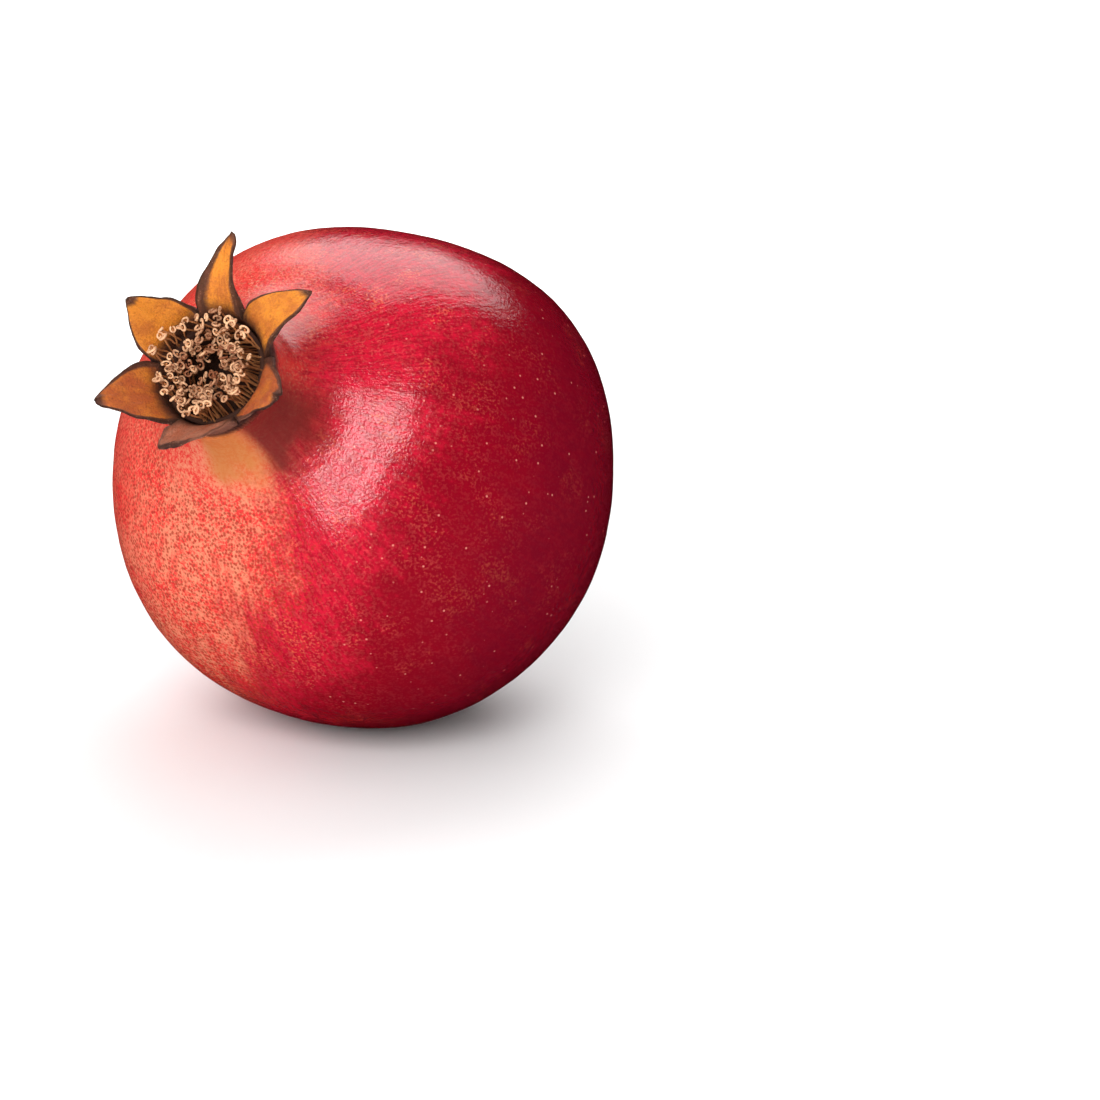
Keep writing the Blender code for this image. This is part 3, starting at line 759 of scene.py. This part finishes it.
leather_noise = r.noise(grain, 0.0016, 4.0, 0.6)
leather_fine = r.noise(local, 0.00042, 3.0, 0.65)
leather_broad = r.noise(local, 0.0035, 2.0, 0.5)
bark = r.mix(r.step(leather_noise * 0.5 + leather_broad * 0.5, 0.46, 0.64), BARK, BARK_WARM)
bark = r.mix(r.step(leather_fine * 0.7 + leather_noise * 0.3, 0.55, 0.66) * 0.70, bark, BARK_PALE)
near_tip = r.step(along + (leather_noise - 0.5) * 0.16, 0.84, 0.96)
bark = r.mix(r.step(tint + leather_broad * 0.5, 0.9, 1.4) * 0.6 * (1 - near_tip), bark, DRIED_PINK)
amber_blotches = r.step(leather_broad * 0.5 + leather_noise * 0.3 + leather_fine * 0.3, 0.46, 0.66)
inner_leather = r.mix(amber_blotches * 0.75, AMBER, AMBER_DEEP)
dried = r.mix(r.step(leather_noise * 0.5 + tint * 0.5, 0.55, 0.85), DRIED_RED, DRIED_PINK)
inner_leather = r.mix(r.step(tint + (leather_broad - 0.5) * 0.7, 0.10, 0.95), inner_leather, dried)
near_edge = r.step(edge + (leather_noise - 0.5) * 0.45 + (leather_fine - 0.5) * 0.2, 0.40, 0.72)
inner_leather = r.mix(r.step(leather_fine, 0.46, 0.66) * (0.06 + tint * 0.40), inner_leather, BARK_WARM)
rim_share = 1 - (1 - near_edge) * (1 - near_tip)
inner_leather = r.mix(rim_share * 0.92, inner_leather, bark)
in_cup = r.step(along + (leather_noise - 0.5) * 0.16, 0.20, 0.02)
inner_leather = r.mix(in_cup * 0.95, inner_leather, CUP_DARK)
leather = r.mix(r.step(inside, 0.35, 0.65), bark, inner_leather)
crown_edge = r.step(crown + (leather_noise - 0.5) * 0.5 + (patches - 0.5) * 0.5, 0.30, 0.95)
rind_colour = r.mix(crown_edge, body_colour, leather)
print("crown's leather mixed")

# %% Gloss and grain
BUMP_DEPTH = 0.00013
strokes = r.noise(r.vector("MULTIPLY", grain, (1.0, 1.0, 2.4)), 0.0010, 2.0, 0.55)
skin_roughness = 0.115 + (streaky - 0.5) * 0.08 + pale_side * 0.14
leather_roughness = 0.68 + (leather_fine - 0.5) * 0.2
roughness = skin_roughness * (1 - crown_edge) + leather_roughness * crown_edge
off_neck = r.step(axis_height, 0.047, 0.030) * 0.7 + 0.3
lines = (fine_streaks * 0.35 + strokes * 0.75 + streaky * 0.6) * off_neck
skin_bump = speckle * 0.42 + mottle * 0.50 + lines * 0.85
leather_bump = leather_fine * 2.6 + leather_noise * 4.2
bump_height = skin_bump * (1 - crown_edge) + leather_bump * crown_edge
bump = {"Strength": 1.0, "Distance": BUMP_DEPTH, "Height": bump_height}
bumped = r.add("ShaderNodeBump", None, bump, "Normal")
r.fill(rind_shader, {"Base Color": rind_colour, "Roughness": roughness, "Normal": bumped,
                     "Specular IOR Level": 0.5, "Subsurface Weight": 0.04,
                     "Subsurface Radius": (1.0, 0.25, 0.15), "Subsurface Scale": 0.0008})
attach(rind, "root")
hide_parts("fruit")
print("rind is finished:", triangles(rind.data), "triangles")

# %% [markdown]
# ## The dried stamens
# Well over a hundred threads grow from the inside of the cup, each with a curled anther at its end. That is a
# repeat that follows a rule, so Geometry Nodes make it: a cloud of points holds where each thread starts,
# bends and ends, a short curve is copied to each point and bent to those three places, and a small open ring
# sits on each end. The thin dry lining that they grow from is the tree's own input geometry, and the stump of
# the style stands in the middle of it.

# %% The lining of the cup
LINING_GAP = 0.0004
LINING_WALL = 0.0009
LINING_SIDES = 64


def lining_radius(share):
    return mix(inner_radius, CUP_FLOOR_RADIUS, share**CUP_BEND) - LINING_GAP


def turned(profile, sides, name):
    """A closed shape, turned from (radius, height) points whose ends lie on the axis."""
    turns = np.linspace(0, 2 * math.pi, sides, endpoint=False)
    grid = Skin()
    numbers = grid.add(polar_points(profile[1:-1, :1], turns, profile[1:-1, 1:]), (0, 0, 0))
    grid.sheet(numbers, closed=True)
    for end, ring in ((profile[0], numbers[0]), (profile[-1], numbers[-1])):
        grid.fan(ring, grid.add(points(0.0, 0.0, end[1])[None], (0, 0, 0))[0])
    made = grid.object(name)
    face_outwards(made.data)
    return made


shares = np.linspace(0.10, 1.0, 9)
outside = np.column_stack((lining_radius(shares), RIM_HEIGHT - CUP_DEPTH * shares + LINING_GAP * shares))
inside_wall = np.column_stack((outside[:, 0] - LINING_WALL, outside[:, 1] + LINING_WALL * shares))
lining_profile = np.vstack(((0, outside[-1, 1]), outside[::-1], inside_wall, (0, inside_wall[-1, 1])))
stamens = turned(lining_profile, LINING_SIDES, "dried_stamens")
print("lining has", triangles(stamens.data), "triangles")

# %% A tree for the stamens, and its random numbers
GOLDEN_TURN = 2.399963
THREAD_POINTS = 9
ROOT_DEPTHS = (0.05, 0.60)
HEAD_RADII = (0.0096, 0.0072)
HEAD_RISES = (0.0050, 0.0042)
stamen_values = {"Count": 170, "Thread radius": 0.00017, "Anther radius": 0.00056, "Anther tube": 0.00019,
                 "Style radius": 0.0008, "Seed": 4}
kinds = dict.fromkeys(stamen_values, "NodeSocketFloat") | dict.fromkeys(("Count", "Seed"), "NodeSocketInt")
g, stamen_input, stamen_keys = new_geometry_tree("stamens", kinds)
point_number = g.add("GeometryNodeInputIndex")


def draw_lot(low, high, shift):
    """A random number for each point, between low and high."""
    sockets = {2: low, 3: high, "ID": point_number, "Seed": stamen_input["Seed"] + shift}
    return g.add("FunctionNodeRandomValue", {"data_type": "FLOAT"}, sockets, 1)


def polar(radius, azimuth, height):
    """A point from its distance to the axis, azimuth and height."""
    x = radius * g.math("COSINE", azimuth)
    y = radius * g.math("SINE", azimuth)
    return g.add("ShaderNodeCombineXYZ", None, {0: x, 1: y, 2: height})


def store(geometry, name, value, kind="FLOAT_VECTOR"):
    settings = {"data_type": kind, "domain": "POINT"}
    sockets = {"Geometry": geometry, "Name": name, "Value": value}
    return g.add("GeometryNodeStoreNamedAttribute", settings, sockets)


print("stamens to make:", stamen_values["Count"])

# %% Where each thread starts, bends and ends
layer = draw_lot(0.0, 1.0, 1)
azimuth = point_number * GOLDEN_TURN + draw_lot(-0.25, 0.25, 2)
root_depth = layer * ROOT_DEPTHS[1] + ROOT_DEPTHS[0]
root_radius = inner_radius - LINING_GAP - LINING_WALL * 0.5
root_radius = root_radius - root_depth**CUP_BEND * (inner_radius - CUP_FLOOR_RADIUS)
root = polar(root_radius, azimuth, RIM_HEIGHT - root_depth * CUP_DEPTH)
head_radius = HEAD_RADII[0] - layer * HEAD_RADII[1] + draw_lot(-0.0008, 0.0008, 3)
head_height = RIM_HEIGHT + HEAD_RISES[0] - layer * HEAD_RISES[1] + draw_lot(-0.0013, 0.0013, 4)
head_azimuth = azimuth + draw_lot(-0.22, 0.22, 5)
head = polar(head_radius, head_azimuth, head_height)
knee = polar(head_radius * 0.75 + root_radius * 0.2, azimuth, head_height * 0.45 + RIM_HEIGHT * 0.53)
cloud = g.add("GeometryNodePoints", None, {"Count": stamen_input["Count"]})
for label, value in (("root", root), ("knee", knee), ("head", head)):
    cloud = store(cloud, label, value)
# Each stamen's shade is a random tone plus painted shade: the inner, deeper stamens are darker and the outer
# ones paler.
cloud = store(cloud, "shade", draw_lot(0.0, 0.6, 11) + (1 - layer) * 0.4, "FLOAT")
print("stamen tree:", len(g.tree.nodes), "nodes so far")

# %% Bend the threads
strand = g.add("GeometryNodeCurvePrimitiveLine", None, {"End": (0.0, 0.0, 0.001)})
strand = g.add("GeometryNodeResampleCurve", None, {"Curve": strand, "Count": THREAD_POINTS})
strands = g.add("GeometryNodeInstanceOnPoints", None, {"Points": cloud, "Instance": strand})
strands = g.add("GeometryNodeRealizeInstances", None, {"Geometry": strands})
t = g.add("GeometryNodeSplineParameter", None, None, "Factor")
root_at, knee_at, head_at = (named(g, label, "FLOAT_VECTOR") for label in ("root", "knee", "head"))
bent = g.vector("ADD", g.scaled(root_at, (1 - t) * (1 - t)), g.scaled(knee_at, (1 - t) * t * 2))
bent = g.vector("ADD", bent, g.scaled(head_at, t * t))
wiggle = g.vector("SUBTRACT", g.add("ShaderNodeTexNoise", None, {"Vector": bent, "Scale": 500.0}, "Color"),
                  (0.5, 0.5, 0.5))
bent = g.vector("ADD", bent, g.scaled(wiggle, t * (1 - t) * 0.0030))
strands = g.add("GeometryNodeSetPosition", None, {"Geometry": strands, "Position": bent})
strands = g.add("GeometryNodeSetCurveRadius", None, {"Curve": strands, "Radius": 1.25 - t * 0.4})


def tube(curve, sides, radius):
    """A capped tube along a curve."""
    circle = {"Resolution": sides, "Radius": stamen_input[radius]}
    ring = g.add("GeometryNodeCurvePrimitiveCircle", None, circle)
    return g.add("GeometryNodeCurveToMesh", None, {"Curve": curve, "Profile Curve": ring, "Fill Caps": True})


threads = tube(strands, 5, "Thread radius")
print("threads follow three places each")

# %% [markdown]
# ## Three finishes for the stamens
# The lining is nearly black in its depth. The threads are tan and brown, and the anthers are the palest,
# straw-coloured and matt. One function writes each finish, with its own two colours and a little noise. The
# finishes also follow each stamen's shade: part random tone, part painted shade that makes the inner, deeper
# stamens darker.

# %% Finishes of the stamens
def dry_finish(name, dark, pale, size, rough):
    """A matt, dry plant surface between two colours."""
    made, recipe, shader = new_material(name)
    place = recipe.add("ShaderNodeTexCoord", None, None, "Object")
    lumps = recipe.noise(place, size, 3.0, 0.6)
    # The shade attribute holds each stamen's random tone and its painted shade of depth.
    shade = recipe.attribute("shade")
    share = recipe.step(lumps * 0.6 + shade * 0.4, 0.30, 0.70)
    height = recipe.noise(place, size * 0.35, 3.0, 0.6)
    bump = {"Strength": 0.8, "Distance": size * 0.05, "Height": height}
    bumped = recipe.add("ShaderNodeBump", None, bump, "Normal")
    recipe.fill(shader, {"Base Color": recipe.mix(share, dark, pale), "Normal": bumped,
                         "Roughness": rough + (lumps - 0.5) * 0.2, "Specular IOR Level": 0.3})
    return made


LINING_DARK = colour(0.050, 0.018, 0.010)
LINING_PALE = colour(0.160, 0.058, 0.024)
THREAD_DARK = colour(0.20, 0.055, 0.018)
THREAD_PALE = colour(0.58, 0.24, 0.09)
ANTHER_DARK = colour(0.22, 0.065, 0.024)
ANTHER_PALE = colour(0.78, 0.45, 0.25)
lining_material = dry_finish("dry cup lining", LINING_DARK, LINING_PALE, 0.0012, 0.8)
thread_material = dry_finish("stamen thread", THREAD_DARK, THREAD_PALE, 0.0024, 0.5)
anther_material = dry_finish("anther", ANTHER_DARK, ANTHER_PALE, 0.0012, 0.6)
print("finishes:", lining_material.name, thread_material.name, anther_material.name, sep=", ")

# %% The style in the middle
STYLE_LENGTH = 0.0062


def painted(geometry, material):
    return g.add("GeometryNodeSetMaterial", None, {"Geometry": geometry, "Material": material})


style_foot = RIM_HEIGHT - CUP_DEPTH + LINING_GAP + LINING_WALL * 0.5
style_path = {"Resolution": 8, "Start": (0.0, 0.0, style_foot),
              "Middle": (0.0012, -0.0008, style_foot + STYLE_LENGTH * 0.5),
              "End": (-0.0006, 0.0004, style_foot + STYLE_LENGTH)}
style = tube(g.add("GeometryNodeCurveQuadraticBezier", None, style_path), 8, "Style radius")
style = painted(style, lining_material)
print("style is", STYLE_LENGTH * 1000, "mm long")

# %% Join the threads, the anthers, the style and the lining
CURL_TURN = math.radians(305)
threads = painted(threads, thread_material)
lining = painted(stamen_input["Geometry"], lining_material)
arc = {"Resolution": 13, "Radius": stamen_input["Anther radius"], "Sweep Angle": CURL_TURN}
anther = tube(g.add("GeometryNodeCurveArc", None, arc), 6, "Anther tube")
anther = store(painted(anther, thread_material), "curled", 1.0, "FLOAT")
ends = g.add("GeometryNodeSetPosition", None, {"Geometry": cloud, "Position": head_at})
turns = {0: draw_lot(-0.9, 0.9, 6), 1: draw_lot(-0.9, 0.9, 7), 2: draw_lot(0.0, 6.28, 8)}
stretches = {0: draw_lot(0.75, 1.05, 9), 1: draw_lot(0.9, 1.5, 10), 2: 1.2}
copies = {"Points": ends, "Instance": anther, "Rotation": g.add("ShaderNodeCombineXYZ", None, turns),
          "Scale": g.add("ShaderNodeCombineXYZ", None, stretches)}
anthers = g.add("GeometryNodeInstanceOnPoints", None, copies)
joined = g.tree.nodes.new("GeometryNodeJoinGeometry")
for piece in (lining, threads, anthers, style):
    g.tree.links.new(piece.socket, joined.inputs[0])
finish_tree(g, Wire(g, joined.outputs[0]), Selection=named(g, "curled"), Material=anther_material)
stamens.data.materials.clear()
apply_tree(stamens, g, stamen_keys, stamen_values)

write_places(stamens.data, lay_down(lean_over(read_places(stamens.data))))
stamens.data.shade_smooth()
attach(stamens, "root")
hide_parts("stamens")
print("stamens:", triangles(stamens.data), "triangles in", [slot.name for slot in stamens.data.materials])

# %% [markdown]
# ## The stub of stalk
# At the other end a short, woody stub is left where the fruit was cut from its branch. It is turned, then
# made uneven: ribs along its side and a rough, split end.

# %% Stalk stub
STALK_RADIUS = 0.0034
STALK_LENGTH = 0.0050
STALK_GAP = 0.0004
STALK_SIDES = 56
stalk_top = DIMPLE_DEPTH - STALK_HALF_LENGTH - STALK_GAP
stalk_shares = np.linspace(0, 1, 22)
stalk_swelling = np.interp(stalk_shares, (0.0, 0.3, 0.75, 0.95, 1.0), (1.25, 1.0, 0.92, 1.08, 1.0))
end_radii = np.linspace(1.0, 0.12, 8)[1:]
stalk_end = stalk_top - STALK_LENGTH
side = np.column_stack((STALK_RADIUS * stalk_swelling, stalk_top - STALK_LENGTH * stalk_shares))
end = np.column_stack((STALK_RADIUS * end_radii, np.full(len(end_radii), stalk_end)))
stalk_profile = np.vstack(((0, stalk_top), (STALK_RADIUS * 0.6, stalk_top), side, end, (0, stalk_end)))
stalk = turned(stalk_profile, STALK_SIDES, "stalk_stub_bark")
print("stalk profile:", len(stalk_profile), "points")

# %% Roughen the stub
place = read_places(stalk.data)
turn = np.arctan2(place[:, 1], place[:, 0])
from_axis = np.hypot(place[:, 0], place[:, 1])
fallen = smoothstep(0.0, 0.3, (stalk_top - place[:, 2]) / STALK_LENGTH)
uneven = 1 + 0.06 * np.cos(3 * turn) + 0.04 * np.cos(5 * turn + 1) + fallen * 0.025 * np.cos(17 * turn + 3)
place[:, :2] *= uneven[:, None]
at_end = smoothstep(0.9, 1.0, (stalk_top - place[:, 2]) / STALK_LENGTH)
split = 0.00035 * np.cos(7 * turn + 900 * from_axis) + 0.00030 * np.cos(3 * turn + 2100 * from_axis)
place[:, 2] -= 0.09 * STALK_LENGTH * np.cos(turn + 0.5) * fallen * from_axis / STALK_RADIUS + split * at_end
write_places(stalk.data, lay_down(place))
STALK_DARK = colour(0.085, 0.038, 0.018)
STALK_PALE = colour(0.36, 0.20, 0.10)
stalk.data.materials.append(dry_finish("stalk bark", STALK_DARK, STALK_PALE, 0.0012, 0.8))
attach(stalk, "root")
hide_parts("stalk_stub")
print("stalk stub:", triangles(stalk.data), "triangles")

# %% [markdown]
# ## Floor, light and camera
# The photograph is a white table-top shot. A long lens looks down a little from the crown's right. A wide
# soft panel hangs level above and behind the fruit and makes the broad gloss along its top. A narrow, tilted
# strip in front makes the slanting gloss on the near side. Wide panels that don't mirror in the skin lift its
# front and its left, and the pale surroundings fill in the rest. The white floor glows more the farther it is
# from the fruit, until it fades into the background.

# %% The stage
CAMERA_DISTANCE = 0.5892
SIGHT_LINE = (32.0, 15.0)
OPTICAL_AXIS = (28.433, 16.387)
FLOOR_REACH = 6
GLOW_RADII = (0.06, 0.50)
FLOOR_GLOW = 0.6
SKY_GLOW = 0.42
SUN_STRENGTH = 0.7
SUN_WIDTH = 100
WHITE = colour(1.0, 1.0, 1.0)
BLACK = colour(0.0, 0.0, 0.0)


def direction(azimuth, elevation):
    """The unit vector from the fruit towards a viewer at this azimuth and elevation, in degrees."""
    a, e = math.radians(azimuth), math.radians(elevation)
    return Vector((math.sin(a) * math.cos(e), -math.cos(a) * math.cos(e), math.sin(e)))


def panel(name, azimuth, elevation, distance, size, brightness, roll=0.0, level=False):
    """A soft rectangular light that faces the fruit, or hangs level. brightness is its radiance."""
    data = bpy.data.lights.new(name, "AREA")
    data.shape = "RECTANGLE"
    data.size, data.size_y = size
    data.energy = brightness * math.pi * size[0] * size[1]
    lamp = new_object(name, data)
    way = direction(azimuth, elevation)
    facing = Matrix.Identity(4) if level else way.to_track_quat("Z", "Y").to_matrix().to_4x4()
    rolled = facing @ Matrix.Rotation(math.radians(roll), 4, "Z")
    lamp.matrix_world = Matrix.Translation(Vector(BODY_CENTRE) + way * distance) @ rolled
    return lamp


print("the lens looks along", direction(*OPTICAL_AXIS))

# %% The floor
floor_mesh = bpy.data.meshes.new("floor")
floor_corners = [(x * FLOOR_REACH, y * FLOOR_REACH, 0) for x, y in ((-1, -1), (1, -1), (1, 1), (-1, 1))]
floor_mesh.from_pydata(floor_corners, [], [(0, 1, 2, 3)])
floor = new_object("floor", floor_mesh)
floor_material, floor_recipe, floor_shader = new_material("white table")
floor_place = floor_recipe.add("ShaderNodeTexCoord", None, None, "Object")
away = floor_recipe.step(floor_recipe.vector("LENGTH", floor_place, output="Value"), *GLOW_RADII)
floor_glow = floor_recipe.mix(away, BLACK, WHITE)
floor_recipe.fill(floor_shader, {"Base Color": colour(0.93, 0.93, 0.93), "Roughness": 0.65,
                                 "Specular IOR Level": 0.2, "Emission Color": floor_glow,
                                 "Emission Strength": FLOOR_GLOW})
floor_mesh.materials.append(floor_material)
floor.visible_glossy = False
print("floor laid")

# %% Sky, panels and sun
world = bpy.data.worlds.new("pale studio")
bpy.context.scene.world = world
world.use_nodes = True
sky_recipe = Recipe(world.node_tree)
seen_directly = sky_recipe.add("ShaderNodeLightPath", None, None, "Is Camera Ray")
sky_strength = SKY_GLOW + seen_directly * (1 - SKY_GLOW)
sky_recipe.fill(world.node_tree.nodes["Background"], {"Color": WHITE, "Strength": sky_strength})
world.cycles_visibility.glossy = False
panel("panel above and behind", -158, 41, 0.95, (0.96, 0.74), 2.3, roll=-31, level=True)
panel("tall strip in front", 29.4, 28, 0.90, (0.15, 0.92), 10.0, roll=-34).visible_diffuse = False
panel("panel in front", 20, 29, 0.90, (0.52, 0.66), 5.7).visible_glossy = False
panel("panel on the left", -20, 28, 0.90, (0.90, 0.58), 0.8)
panel("low panel behind on the left", -110, 12, 0.90, (0.70, 0.50), 1.8).visible_glossy = False
sky_data = bpy.data.lights.new("even light from above", "SUN")
sky_data.energy = SUN_STRENGTH
sky_data.angle = math.radians(SUN_WIDTH)
new_object("even light from above", sky_data).visible_glossy = False
print("lights:", len(bpy.data.lights))

# %% Camera
camera_data = bpy.data.cameras.new("camera")
camera_data.lens = 100
camera_data.sensor_width = 36
camera_data.clip_start = 0.01
camera = new_object("camera", camera_data)
back = direction(*OPTICAL_AXIS)
turned_by = math.radians(OPTICAL_AXIS[0])
right = Vector((math.cos(turned_by), math.sin(turned_by), 0.0))
camera_place = Vector(BODY_CENTRE) + direction(*SIGHT_LINE) * CAMERA_DISTANCE
camera_axes = Matrix((right, back.cross(right), back)).transposed()
camera.matrix_world = Matrix.Translation(camera_place) @ camera_axes.to_4x4()
bpy.context.scene.camera = camera
bpy.context.scene.view_settings.view_transform = "Standard"
print("camera is", round(camera_place.length, 3), "m away")
